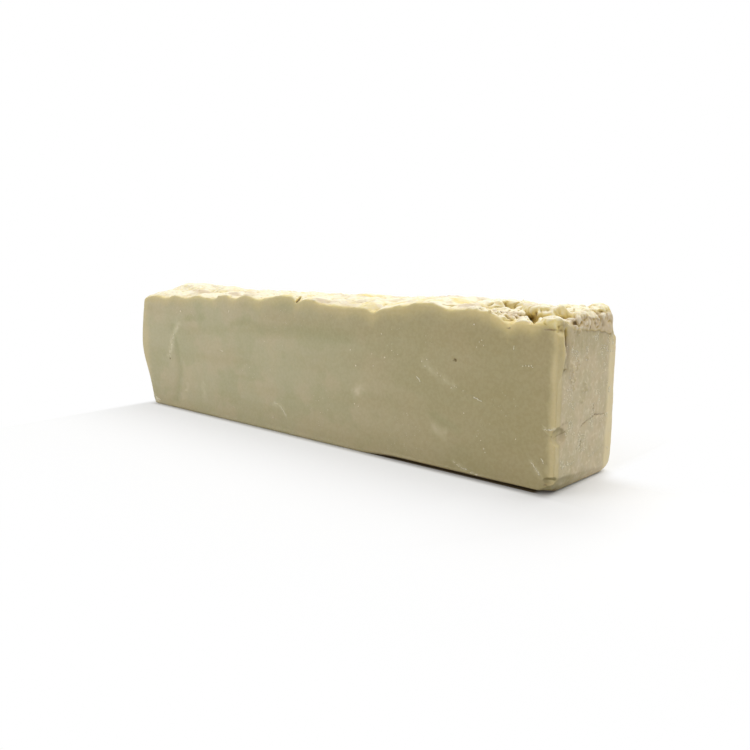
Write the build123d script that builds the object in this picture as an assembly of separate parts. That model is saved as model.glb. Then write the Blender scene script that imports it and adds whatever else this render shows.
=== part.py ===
from build123d import *
import math
import os
import random

# A loaf of hand-made olive-oil soap, uncut, lying on its flat base.
# X runs along the loaf, Y across it and Z up. Y- is the long face that the maker's knife left smooth.
# All sizes are in millimetres.

# Driving dimensions of the loaf
LENGTH = 291.0
WIDTH = 52.5
BASE = -0.5
BLANK_TOP = 84.0

HALF_LENGTH = LENGTH / 2
HALF_WIDTH = WIDTH / 2

# Worn edges of the blank: its left uprights, then the front and back uprights of the right end
LEFT_ARRIS_RADIUS = 3.4
FRONT_ARRIS_RADIUS = 4.4
BACK_ARRIS_RADIUS = 1.6
BASE_FRONT_WEAR = 0.7
BASE_BACK_RADIUS = 4.0

# Outline of the left end as (x, z): undercut below its belly, leaning back above it
LEFT_END = [
    (-HALF_LENGTH + 7.0, BASE),
    (-HALF_LENGTH + 5.2, 9),
    (-HALF_LENGTH + 2.2, 19),
    (-HALF_LENGTH - 2.4, 34),
    (-HALF_LENGTH - 1.8, 48),
    (-HALF_LENGTH + 0.6, 61),
    (-HALF_LENGTH + 4.0, BLANK_TOP),
]

# Bevel along the foot of the right end, deeper at the front corner
BEVEL_FRONT_HEIGHT = 7.6
BEVEL_BACK_HEIGHT = 2.4
BEVEL_DEPTH = 3.6

# Knocked-off feet of the right end's corners: how deep each break lies inside the corner
FRONT_FOOT_CHIP = 4.4
BACK_FOOT_CHIP = 1.4

# Torn rim of the front face, as (x, z), from the left end to the right
FRONT_RIM = [
    (-150, 63.5),
    (-143, 67.0),
    (-134, 69.2),
    (-119, 68.2),
    (-109, 70.2),
    (-97, 69.0),
    (-85, 70.2),
    (-74, 69.0),
    (-62, 72.6),
    (-54, 70.0),
    (-43, 73.2),
    (-33, 70.6),
    (-15, 74.0),
    (-5, 73.8),
    (-2, 71.0),
    (3, 73.0),
    (20, 70.4),
    (45, 70.6),
    (50.5, 69.0),
    (55, 70.6),
    (66, 72.2),
    (77, 74.4),
    (85, 74.0),
    (93, 71.8),
    (105, 73.2),
    (111, 72.5),
    (117, 70.9),
    (123.2, 67.5),
    (127, 69.2),
    (134.5, 69.2),
    (139.5, 68.0),
    (150, 64.5),
]

# Rim of the back face, as (x, z)
BACK_RIM = [
    (-150, 70.0),
    (-141, 72.6),
    (-128, 73.4),
    (-112, 72.6),
    (-98, 71.0),
    (-78, 70.6),
    (-60, 71.0),
    (-40, 69.8),
    (-10, 70.0),
    (20, 72.0),
    (34, 71.6),
    (50, 72.6),
    (68, 73.2),
    (88, 72.4),
    (104, 72.6),
    (118, 70.8),
    (131, 71.6),
    (141, 71.4),
    (150, 66.0),
]

# Where the crust has broken away above the smooth right end, as (y, z), and its climb inland
END_RIM = [
    (-27, 63.2),
    (-20, 63.4),
    (-16, 66.0),
    (-12, 69.6),
    (-8, 71.0),
    (-3, 69.4),
    (2, 69.0),
    (7, 67.4),
    (12, 66.4),
    (18, 65.4),
    (27, 61.5),
]
END_CLIMB = 1.9

# The crust stands this much higher along the middle of the loaf, and its rims lie a little lower
CROWN = 1.6
RIM_DROP = 0.8

# Facets of the crust: cell size along the calm part and at the broken right end
CALM_CELL = 3.0
BROKEN_CELL = 1.9
ROW_CELL = 2.1
BROKEN_FROM = 84.0
OVERHANG = 3.4
CELL_JITTER = 0.22
RIM_WEAR = 1.3
CRUST_SEED = 11

# Crumbs scattered over the crust: how many, their radii and their heights
CALM_CRUMBS = 150
CALM_RADII = (4.5, 9.0)
CALM_HEIGHTS = (0.4, 1.5)
BROKEN_CRUMBS = 70
BROKEN_RADII = (3.0, 6.5)
BROKEN_HEIGHTS = (0.5, 1.6)
CRUMB_NARROWNESS = (0.6, 0.95)
CRUMB_SHARE_AT_RIMS = 0.25

# Broad swells of the crust, as (x, y, half length, half width, turn in degrees, top z), and their fall
SWELLS = [
    (-127, 4, 17, 16, 0, 74.9),
    (-92, 2, 11, 12, 20, 74.0),
]
SWELL_FALL = 4.5

# Lumps with steep sides at the broken end, given as the swells are, and how they fall at their edge
LUMPS = [
    (132.4, -6.0, 7.8, 4.8, 4, 73.7),
    (120.6, -3.6, 4.4, 4.6, -20, 73.7),
    (140.4, -20.4, 5.8, 4.4, 0, 71.0),
    (143.4, -14.6, 2.9, 2.7, 0, 68.8),
    (142.4, -6.6, 4.0, 4.0, 10, 71.6),
    (139.4, 3.6, 6.0, 5.0, -30, 72.9),
    (141, 17.4, 5.2, 7.6, 8, 73.6),
    (109, 8.4, 9, 5.0, -4, 73.4),
    (93, -6, 8, 7, 0, 72.8),
    (95, 15, 7, 6, 40, 73.6),
    (126, 19, 8, 5.5, -10, 72.4),
]
LUMP_CROWN = 0.7
LUMP_FALL = 3.8
LUMP_SKIRT = 1.15

# Hollows torn between the lumps, as (x, y, half length, half width, turn in degrees, floor z)
HOLLOWS = [
    (109.5, -0.6, 6.8, 4.6, -8, 68.0),
    (114, -13.8, 15.0, 9.4, -12, 70.2),
    (127.6, -15.8, 14.0, 2.0, -54, 66.2),
    (125.4, -9.6, 1.6, 3.6, 0, 69.0),
    (138.8, -12.4, 5.0, 2.6, 20, 67.2),
    (129.5, 10, 8, 2.6, -14, 68.6),
    (144.8, 9.6, 2.8, 2.0, 20, 68.0),
    (50.5, -23.5, 3.2, 4.2, 0, 68.2),
    (-2.5, -23.5, 2.2, 5, 25, 70.2),
    (-78, 6, 8, 2.4, 30, 71.0),
    (20, 9, 7, 2.4, -40, 70.6),
]

# The lip smeared over the front right arris, as (z, how far it stands out, thickness) from its foot up
LIP = [
    (45.0, 0.1, 1.6),
    (51.0, 1.0, 4.0),
    (59.0, 1.3, 4.2),
    (67.0, 0.2, 3.4),
]
LIP_ROOT = 6.0

# The slit behind the lip, open at the top, as (z, place across the end, width, depth) from its foot up
LIP_SLIT = [
    (48.5, -23.4, 0.4, 0.8),
    (58.0, -22.2, 2.6, 5.0),
    (64.0, -22.0, 4.0, 6.4),
    (75.0, -22.0, 7.5, 8.0),
]

# The long crack across the right end, as (y, z) points
LONG_CRACK = [
    (15.5, 27.1),
    (11.5, 27.5),
    (7.5, 28.2),
    (3.8, 27.9),
    (0.2, 27.8),
    (-2.5, 27.0),
    (-5.5, 26.2),
]
LONG_CRACK_WIDTH = 0.8
LONG_CRACK_DEPTH = 2.6

# The fold in the front right arris: soap is missing below its overhanging lip
FOLD = (146.8, -24.6, 26.6, 3.2, 8.4, 6.4)
FOLD_LIP = 28.6
FOLD_LEAN = 0.25

# Bites broken out of the edges, then pinholes in the front face,
# as (x, y, z, half sizes along x, y and z)
BITES = [
    (146.5, -26.5, 6.0, 6.0, 3.0, 1.8),
    (-139.0, -27.0, 1.0, 5.0, 2.2, 2.4),
    (148.5, 26.5, 66.0, 6.0, 5.0, 8.0),
    (-148.0, 26.5, 70.0, 6.0, 4.0, 5.0),
    (97.4, -HALF_WIDTH, 49.8, 1.2, 1.6, 0.8),
    (-116.9, -HALF_WIDTH, 30.3, 0.8, 1.4, 0.7),
]


def along(outline, place):
    """The height of an outline at a place along it, eased between its points."""
    for (x0, z0), (x1, z1) in zip(outline, outline[1:]):
        if place <= x1:
            share = min(max((place - x0) / (x1 - x0), 0.0), 1.0)
            return z0 + (z1 - z0) * (1 - math.cos(math.pi * share)) / 2
    return outline[-1][1]


def reach(x, y, oval):
    """How far (x, y) lies from the middle of a turned oval: 0 at the middle, 1 on its edge."""
    cx, cy, half_length, half_width, turn = oval[:5]
    c, s = math.cos(math.radians(turn)), math.sin(math.radians(turn))
    u = ((x - cx) * c + (y - cy) * s) / half_length
    v = (-(x - cx) * s + (y - cy) * c) / half_width
    return math.hypot(u, v)


def scattered_crumbs(rng):
    """Crumbs strewn over the crust, each an oval dome (x, y, half sizes, turn, height)."""
    kinds = (
        (CALM_CRUMBS, -HALF_LENGTH, BROKEN_FROM, CALM_RADII, CALM_HEIGHTS),
        (BROKEN_CRUMBS, BROKEN_FROM, HALF_LENGTH, BROKEN_RADII, BROKEN_HEIGHTS),
    )
    crumbs = []
    for count, low_x, high_x, radii, heights in kinds:
        for _ in range(count):
            radius = rng.uniform(*radii)
            crumbs.append(
                (
                    rng.uniform(low_x, high_x),
                    rng.uniform(-HALF_WIDTH, HALF_WIDTH),
                    radius,
                    radius * rng.uniform(*CRUMB_NARROWNESS),
                    rng.uniform(0, 180),
                    rng.uniform(*heights),
                )
            )
    return crumbs


def crust_height(x, y, crumbs):
    """Height of the crust: the two rims, a low crown, crumbs, then the lumps and hollows."""
    across = min(max((y + HALF_WIDTH) / WIDTH, 0.0), 1.0)
    z = along(FRONT_RIM, x) * (1 - across) + along(BACK_RIM, x) * across
    inland = 1 - (2 * across - 1) ** 2
    z += CROWN * inland - RIM_DROP
    domes = [c[5] * (1 - reach(x, y, c) ** 2) for c in crumbs if reach(x, y, c) < 1]
    z += max(domes, default=0.0) * (CRUMB_SHARE_AT_RIMS + (1 - CRUMB_SHARE_AT_RIMS) * inland)
    for swell in SWELLS:
        z = max(z, swell[5] - SWELL_FALL * reach(x, y, swell) ** 3)
    z = min(z, along(END_RIM, y) + END_CLIMB * max(HALF_LENGTH - x, 0.0))
    for lump in LUMPS:
        r = reach(x, y, lump)
        if r < LUMP_SKIRT:
            z = max(z, lump[5] - LUMP_CROWN * r**2 - LUMP_FALL * r**6)
    for hollow in HOLLOWS:
        r = reach(x, y, hollow)
        if r < 1:
            z = min(z, hollow[5] + (z - hollow[5]) * r**4)
    beyond = max(abs(y) - HALF_WIDTH + RIM_WEAR, 0.0)
    return z - beyond


def spaced(start, stop, cell):
    """Even places from start to stop, about one cell apart."""
    count = max(round((stop - start) / cell), 1)
    return [start + (stop - start) * i / count for i in range(count)]


def soap_below_crust():
    """Everything below the torn crust, wider than the loaf, with its top in flat facets."""
    rng = random.Random(CRUST_SEED)
    crumbs = scattered_crumbs(rng)
    edge_x, edge_y, below = HALF_LENGTH + 2 * OVERHANG, HALF_WIDTH + OVERHANG, BASE - OVERHANG
    calm, broken = spaced(-edge_x, BROKEN_FROM, CALM_CELL), spaced(BROKEN_FROM, edge_x, BROKEN_CELL)
    columns = [*calm, *broken, edge_x]
    rows = spaced(-edge_y, edge_y, ROW_CELL) + [edge_y]

    def corner(i, j):
        x, y = columns[i], rows[j]
        if 0 < i < len(columns) - 1 and 0 < j < len(rows) - 1:
            x += rng.uniform(-1, 1) * CELL_JITTER * BROKEN_CELL
            y += rng.uniform(-1, 1) * CELL_JITTER * ROW_CELL
        return Vector(x, y, crust_height(x, y, crumbs))

    grid = [[corner(i, j) for j in range(len(rows))] for i in range(len(columns))]
    facets = []
    for i in range(len(columns) - 1):
        for j in range(len(rows) - 1):
            a, b, c, d = grid[i][j], grid[i + 1][j], grid[i + 1][j + 1], grid[i][j + 1]
            if abs(a.Z - c.Z) < abs(b.Z - d.Z):
                triangles = ((a, b, c), (a, c, d))
            else:
                triangles = ((a, b, d), (b, c, d))
            facets += [Face(Wire.make_polygon(t)) for t in triangles]

    def wall(rim):
        foot = [Vector(rim[-1].X, rim[-1].Y, below), Vector(rim[0].X, rim[0].Y, below)]
        return Face(Wire.make_polygon([*rim, *foot]))

    walls = [wall(rim) for rim in (grid[0], grid[-1], [g[0] for g in grid], [g[-1] for g in grid])]
    corners = ((-edge_x, -edge_y), (edge_x, -edge_y), (edge_x, edge_y), (-edge_x, edge_y))
    floor = Face(Wire.make_polygon([Vector(x, y, below) for x, y in corners]))
    return Solid(Shell([*facets, *walls, floor]))


def worn_off(block, corner, inward, wear):
    """The block with a corner or edge worn off flat, wear being how far the flat lies inside it."""
    return split(block, bisect_by=Plane(corner + inward.normalized() * wear, z_dir=inward), keep=Keep.TOP)


def blank():
    """The cast block: its side outline drawn across the width, with worn edges."""
    left = Spline(*LEFT_END)
    rest = Polyline(LEFT_END[-1], (HALF_LENGTH, BLANK_TOP), (HALF_LENGTH, BASE), LEFT_END[0])
    side = make_face(Plane.XZ.offset(-HALF_WIDTH) * (left + rest))
    block = extrude(side, amount=WIDTH, dir=(0, -1, 0))
    base_back = block.edges().filter_by(Axis.X).group_by(Axis.Z)[0].sort_by(Axis.Y)[-1]
    block = fillet(base_back, BASE_BACK_RADIUS)
    uprights = ShapeList([edge for edge in block.edges() if edge.bounding_box().size.Z > BLANK_TOP / 2])
    front_right, back_right, *left = uprights.sort_by(lambda edge: edge.center().Y - edge.center().X)
    block = fillet(front_right, FRONT_ARRIS_RADIUS)
    block = fillet(back_right, BACK_ARRIS_RADIUS)
    block = fillet(left, LEFT_ARRIS_RADIUS)
    block = worn_off(block, Vector(0, -HALF_WIDTH, BASE), Vector(0, 1, 1), BASE_FRONT_WEAR)
    block = worn_off(block, Vector(HALF_LENGTH, -HALF_WIDTH, BASE), Vector(-1, 1, 1), FRONT_FOOT_CHIP)
    return worn_off(block, Vector(HALF_LENGTH, HALF_WIDTH, BASE), Vector(-1, -1, 1), BACK_FOOT_CHIP)


def foot_bevel():
    """The wedge missing along the foot of the right end."""
    far_y = HALF_WIDTH + 1
    sections = []
    for y, height in ((-far_y, BEVEL_FRONT_HEIGHT), (far_y, BEVEL_BACK_HEIGHT)):
        depth = BEVEL_DEPTH * height / BEVEL_FRONT_HEIGHT
        sections.append(
            Face(
                Wire.make_polygon(
                    [
                        Vector(HALF_LENGTH - depth, y, BASE - 0.1),
                        Vector(HALF_LENGTH + 1, y, BASE - 0.1),
                        Vector(HALF_LENGTH + 1, y, height),
                        Vector(HALF_LENGTH, y, height),
                    ]
                )
            )
        )
    return loft(sections)


def lip():
    """The lip of soap dragged over the front right arris, a tapered curl."""
    root, face = HALF_LENGTH - LIP_ROOT, -HALF_WIDTH
    sections = []
    for z, out, thickness in LIP:
        crest = HALF_LENGTH + out
        curl = (
            (root, 0.0),
            (HALF_LENGTH - 2.4 + out * 0.5, 0.0),
            (crest - 0.6 - out * 0.2, thickness * 0.22),
            (crest, thickness * 0.6),
            (crest - out * 0.2, thickness),
            (root, thickness),
        )
        sections.append(Face(Wire.make_polygon([Vector(x, face + inward, z) for x, inward in curl])))
    return loft(sections, ruled=True)


def lip_slit():
    """The gap between the lip and the torn end, a wedge that closes downwards."""
    mouth = HALF_LENGTH + 4
    sections = []
    for z, near, width, depth in LIP_SLIT:
        wedge = ((mouth, near), (mouth, near + width), (HALF_LENGTH - depth, near + width * 0.3))
        sections.append(Face(Wire.make_polygon([Vector(x, y, z) for x, y in wedge])))
    return loft(sections, ruled=True)


def crack(points, width, depth):
    """A crack along (y, z) points on the right end, widest midway and closing at its tips."""
    upper, lower = [], []
    for n in range(1, len(points) - 1):
        (y0, z0), (y, z), (y1, z1) = points[n - 1 : n + 2]
        share = n / (len(points) - 1)
        half = width / 2 * (1 - 0.6 * abs(2 * share - 1)) / math.hypot(y1 - y0, z1 - z0)
        upper.append((y - (z1 - z0) * half, z + (y1 - y0) * half))
        lower.append((y + (z1 - z0) * half, z - (y1 - y0) * half))
    outline = [points[0], *upper, points[-1], *reversed(lower)]
    mouth = Face(Wire.make_polygon([Vector(HALF_LENGTH + 3, y, z) for y, z in outline]))
    return extrude(mouth, amount=depth + 3, dir=(-1, 0, 0))


def bite(x, y, z, half_x, half_y, half_z):
    """A rounded bite out of an edge."""
    ball = scale(Sphere(1), by=(half_x, half_y, half_z))
    return Pos(x, y, z) * ball


def fold():
    """The soap missing below the fold: an egg cut off flat at the fold's lip."""
    return split(bite(*FOLD), bisect_by=Plane((0, 0, FOLD_LIP), z_dir=(0, FOLD_LEAN, 1)), keep=Keep.BOTTOM)


def soap_bar():
    """The whole loaf as one solid."""
    bar = blank() - foot_bevel() + lip()
    for place in BITES:
        bar -= bite(*place)
    bar -= fold()
    bar -= lip_slit()
    bar -= crack(LONG_CRACK, LONG_CRACK_WIDTH, LONG_CRACK_DEPTH)
    bar &= soap_below_crust()
    solid = bar.solids().sort_by(SortBy.VOLUME)[-1]
    box = solid.bounding_box()
    return Pos(-box.center().X, -box.center().Y, -box.min.Z) * solid


os.makedirs("parts", exist_ok=True)
export_step(soap_bar(), "parts/soap_bar.step")
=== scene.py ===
import itertools
import math

import bmesh
import bpy
import numpy as np
from mathutils import Matrix, Vector


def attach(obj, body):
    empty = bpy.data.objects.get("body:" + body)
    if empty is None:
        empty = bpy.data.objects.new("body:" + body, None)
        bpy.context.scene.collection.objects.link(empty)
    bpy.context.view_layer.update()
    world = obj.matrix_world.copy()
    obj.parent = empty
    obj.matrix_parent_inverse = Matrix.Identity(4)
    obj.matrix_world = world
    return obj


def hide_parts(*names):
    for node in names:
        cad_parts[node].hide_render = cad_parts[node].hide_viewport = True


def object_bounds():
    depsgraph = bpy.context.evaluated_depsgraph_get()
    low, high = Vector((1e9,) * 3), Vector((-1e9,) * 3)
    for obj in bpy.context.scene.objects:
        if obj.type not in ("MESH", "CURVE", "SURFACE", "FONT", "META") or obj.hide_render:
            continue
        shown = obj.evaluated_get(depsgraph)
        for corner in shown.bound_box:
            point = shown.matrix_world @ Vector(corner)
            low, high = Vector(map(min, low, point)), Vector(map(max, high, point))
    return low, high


# One loaf of hand-made olive-oil soap. The cast block and its torn crust come from the frame.
# This script adds the finer breaks, crumbs, scratches and the look of the soap.
# Lengths are in millimetres until a mesh is written, then metres.

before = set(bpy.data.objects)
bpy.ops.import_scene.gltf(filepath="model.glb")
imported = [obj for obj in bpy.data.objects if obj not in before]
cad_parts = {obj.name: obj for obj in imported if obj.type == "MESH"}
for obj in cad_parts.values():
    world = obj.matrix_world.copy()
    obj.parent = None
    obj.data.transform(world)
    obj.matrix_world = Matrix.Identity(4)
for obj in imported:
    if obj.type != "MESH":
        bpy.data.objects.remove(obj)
cad_low, cad_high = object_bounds()

MM = 0.001

# Every place below is measured from here: midway along the cut block, at the foot of its sides
ORIGIN = np.array((0.69, 0.0, 0.5))

# The loaf: half width, the right end, and the outline of the left end as (z, x)
HALF_WIDTH = 26.25
RIGHT_END = 145.5
LEFT_END = ((0, -138.5), (9, -140.3), (19, -143.3), (34, -147.9), (48, -147.3), (61, -144.9), (84, -141.5))

# How finely the loaf is worked, and how far the grid laid over it in plan reaches each way
VOXEL = 0.45
GRID = 0.5
GRID_REACH = (155, 30)
MOST_TRIANGLES = 180000


# Measuring and moving the points of a mesh


def points_of(mesh):
    flat = np.empty(len(mesh.vertices) * 3, np.float32)
    mesh.vertices.foreach_get("co", flat)
    return flat.reshape(-1, 3).astype(float) / MM - ORIGIN


def normals_of(mesh):
    flat = np.empty(len(mesh.vertices) * 3, np.float32)
    mesh.vertex_normals.foreach_get("vector", flat)
    return flat.reshape(-1, 3).astype(float)


def set_points(mesh, points):
    mesh.vertices.foreach_set("co", ((points + ORIGIN) * MM).astype(np.float32).ravel())
    mesh.update()


def metres(place):
    """A place on the loaf in the scene's own metres."""
    return Vector(np.add(place, ORIGIN) * MM)


def inside_cad_box(points):
    """The points, with any that stand past the CAD model's box brought back to it."""
    low, high = np.array(cad_low) / MM - ORIGIN, np.array(cad_high) / MM - ORIGIN
    return np.clip(points, low, high)


def set_attribute(mesh, name, values):
    layer = mesh.attributes.get(name) or mesh.attributes.new(name, "FLOAT", "POINT")
    layer.data.foreach_set("value", values.astype(np.float32))


def edges_of(mesh):
    flat = np.empty(len(mesh.edges) * 2, np.int32)
    mesh.edges.foreach_get("vertices", flat)
    return flat.reshape(-1, 2)


def spread(values, edges, rounds):
    """Values averaged with those of the neighbouring points, some rounds over."""
    a, b = edges.T
    count = np.bincount(a, minlength=len(values)) + np.bincount(b, minlength=len(values))
    flat = values.reshape(len(values), -1)
    for _ in range(rounds):
        total = np.stack(
            [
                np.bincount(a, column[b], len(column)) + np.bincount(b, column[a], len(column))
                for column in flat.T
            ],
            axis=1,
        )
        flat = (flat + total) / (count[:, None] + 1)
    return flat.reshape(values.shape)


def ease(low, high, values):
    """0 below low, 1 above high and a smooth rise between."""
    share = np.clip((values - low) / (high - low), 0, 1)
    return share * share * (3 - 2 * share)


def lumpy(points, size, seed):
    """Smooth noise at each point, from about -1 to 1, with lumps about size millimetres across."""
    rng = np.random.default_rng(seed)
    table = rng.permutation(256)
    slopes = rng.normal(size=(256, 3))
    slopes /= np.linalg.norm(slopes, axis=1)[:, None]
    cells = points / size
    base = np.floor(cells).astype(np.int64)
    part = cells - base
    blend = part**3 * (part * (part * 6 - 15) + 10)
    total = np.zeros(len(points))
    for corner in itertools.product((0, 1), repeat=3):
        x, y, z = ((base + corner) & 255).T
        slope = slopes[table[(table[(table[x] + y) & 255] + z) & 255]]
        weight = np.prod(np.where(corner, blend, 1 - blend), axis=1)
        total += weight * ((part - corner) * slope).sum(axis=1)
    return total * 1.7


def craggy(points, size, seed, octaves=3):
    """Layers of noise, each half the size and height of the last."""
    return sum(lumpy(points, size / 2**n, seed + n) / 2**n for n in range(octaves))


def blurred(grid, reach):
    """A grid smoothed over so many cells each way."""
    weights = np.hanning(2 * reach + 3)[1:-1]
    for axis in (0, 1):
        grid = np.apply_along_axis(np.convolve, axis, grid, weights / weights.sum(), "same")
    return grid


def sunk_below(points, share, across):
    """How far each point lies below those around it, of which only a share counts."""
    cells = tuple(((points[:, :2] + GRID_REACH) / GRID).astype(int).T)
    height, count = np.zeros((2, *[round(2 * half / GRID) for half in GRID_REACH]))
    np.add.at(height, cells, points[:, 2] * share)
    np.add.at(count, cells, share)
    reach = round(across / GRID)
    level = blurred(height, reach) / np.maximum(blurred(count, reach), 1e-6)
    return level[cells] - points[:, 2]


def along_path(u, v, path, half_width):
    """1 on a path drawn through (u, v) points and 0 beyond its half width."""
    nearest = np.full(len(u), 1e9)
    for (u0, v0), (u1, v1) in zip(path, path[1:]):
        du, dv = u1 - u0, v1 - v0
        share = np.clip(((u - u0) * du + (v - v0) * dv) / (du * du + dv * dv), 0, 1)
        nearest = np.minimum(nearest, np.hypot(u - u0 - share * du, v - v0 - share * dv))
    return 1 - ease(0, half_width, nearest)


# Where a point lies on the loaf


def inside(points):
    """How far each point lies inside the smooth sides and ends, in plan."""
    x, y, z = points.T
    left = np.interp(z, *zip(*LEFT_END))
    return np.minimum(np.minimum(HALF_WIDTH - np.abs(y), RIGHT_END - x), x - left)


# The foot of the torn wall at the top of the right end, as (y, z)
TORN_WALL = ((-16, 66.5), (-13, 64.8), (-3, 64.0), (6, 62.8), (13, 62.2), (21, 60.4))


def wall_share(points):
    """1 on the torn wall at the top of the right end."""
    x, y, z = points.T
    above = z - np.interp(y, *zip(*TORN_WALL)) + 0.9 * lumpy(points, 4.0, 38)
    return ease(0.0, 1.0, above) * ease(140, 143, x) * ease(-16.5, -14.5, y) * ease(22.0, 20.0, y)


def crust_share(points):
    """1 on the torn crust and the torn wall below it, and 0 on the smooth sides."""
    top = ease(0.5, 1.8, inside(points)) * ease(50, 56, points[:, 2])
    return np.maximum(top, wall_share(points))


def broken_share(points):
    """1 on the badly broken crust near the right end, 0 on the calm crust."""
    return ease(84, 104, points[:, 0] + 0.25 * points[:, 1])


def crumbly_share(points):
    """How thickly crumbs lie: on the ledge and in the crumbly patches of the broken crust."""
    thick = np.full(len(points), 0.02)
    for place, reach in CRUMBLY_PATCHES:
        away = np.linalg.norm((points - place) / reach, axis=1)
        thick = np.maximum(thick, 1 - ease(0.6, 1.0, away))
    return thick


# Node trees


class Nodes:
    """Adds nodes to a tree. An input that is given another node's output is linked to it."""

    def __init__(self, tree):
        self.tree = tree

    def add(self, kind, inputs=(), **settings):
        node = self.tree.nodes.new(kind)
        for name, value in settings.items():
            setattr(node, name, value)
        for key, value in dict(inputs).items():
            socket = node.inputs[key]
            if isinstance(value, bpy.types.NodeSocket):
                self.tree.links.new(value, socket)
            else:
                socket.default_value = value
        return node

    def sum(self, operation, a, b=0.0, c=0.0, clamp=False):
        node = self.add("ShaderNodeMath", {0: a, 1: b, 2: c}, operation=operation, use_clamp=clamp)
        return node.outputs[0]

    def range(self, value, low, high, to_low=0.0, to_high=1.0):
        sizes = {"Value": value, "From Min": low, "From Max": high, "To Min": to_low, "To Max": to_high}
        return self.add("ShaderNodeMapRange", sizes, interpolation_type="SMOOTHSTEP").outputs[0]

    def mix(self, share, a, b, blend="MIX"):
        node = self.add("ShaderNodeMix", {0: share, 6: a, 7: b}, data_type="RGBA", blend_type=blend)
        return node.outputs[2]


def linear(red, green, blue):
    """A colour as a screen shows it, 0 to 255, as the linear colour that a material takes."""
    shares = [c / 255 for c in (red, green, blue)]
    return (*[c / 12.92 if c <= 0.04045 else ((c + 0.055) / 1.055) ** 2.4 for c in shares], 1.0)


def link_new(name, mesh):
    made = bpy.data.objects.new(name, mesh)
    bpy.context.scene.collection.objects.link(made)
    return made


def through_modifier(mesh, kind, inputs=(), **settings):
    """The plain mesh that one modifier makes of this mesh. A tree's inputs are set by identifier."""
    holder = link_new("holder", mesh)
    modifier = holder.modifiers.new(kind.title(), kind)
    for name, value in settings.items():
        setattr(modifier, name, value)
    if inputs:
        given = [socket for socket in modifier.node_group.interface.items_tree if socket.in_out == "INPUT"]
        identifiers = {socket.name: socket.identifier for socket in given}
        for name, value in inputs.items():
            modifier[identifiers[name]] = value
    graph = bpy.context.evaluated_depsgraph_get()
    made = bpy.data.meshes.new_from_object(holder.evaluated_get(graph))
    holder.modifiers.clear()
    bpy.data.objects.remove(holder)
    return made


def triangles(mesh):
    mesh.calc_loop_triangles()
    return len(mesh.loop_triangles)


# The soap as a material

OLIVE = linear(172, 165, 131)
GREEN_CLOUD = linear(165, 160, 124)
PINK_CLOUD = linear(178, 167, 134)
DARK_OLIVE = linear(152, 137, 92)
GREEN_SMEAR = linear(150, 147, 106)
# the rims' yellow is partly the soap's own and partly a painted glow of light through the thin edge
YELLOW_RIM = linear(212, 192, 132)
# the arrises are painted pale as a highlight on their rounding
ARRIS_HIGHLIGHT = linear(198, 182, 136)
BACK_ARRIS_HIGHLIGHT = linear(224, 208, 166)
CUT_END = linear(190, 174, 140)
GREEN_END = linear(183, 170, 135)
SHADED_FOOT = linear(138, 127, 86)
PALE_CRUST = linear(233, 227, 205)
GREY_CRUST = linear(210, 199, 178)
GOLD_CRUST = linear(216, 198, 122)
# painted shade on the sides of the crust's breaks
TORN_SIDE_SHADE = linear(216, 194, 114)
TORN_GREY = linear(191, 172, 143)
# mostly painted shade in the crust's hollows and in cracks, creases and holes
HOLLOW = linear(168, 142, 68)
BROWN_HOLLOW = linear(100, 74, 40)
WHITE_FLECK = linear(238, 229, 198)


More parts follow.
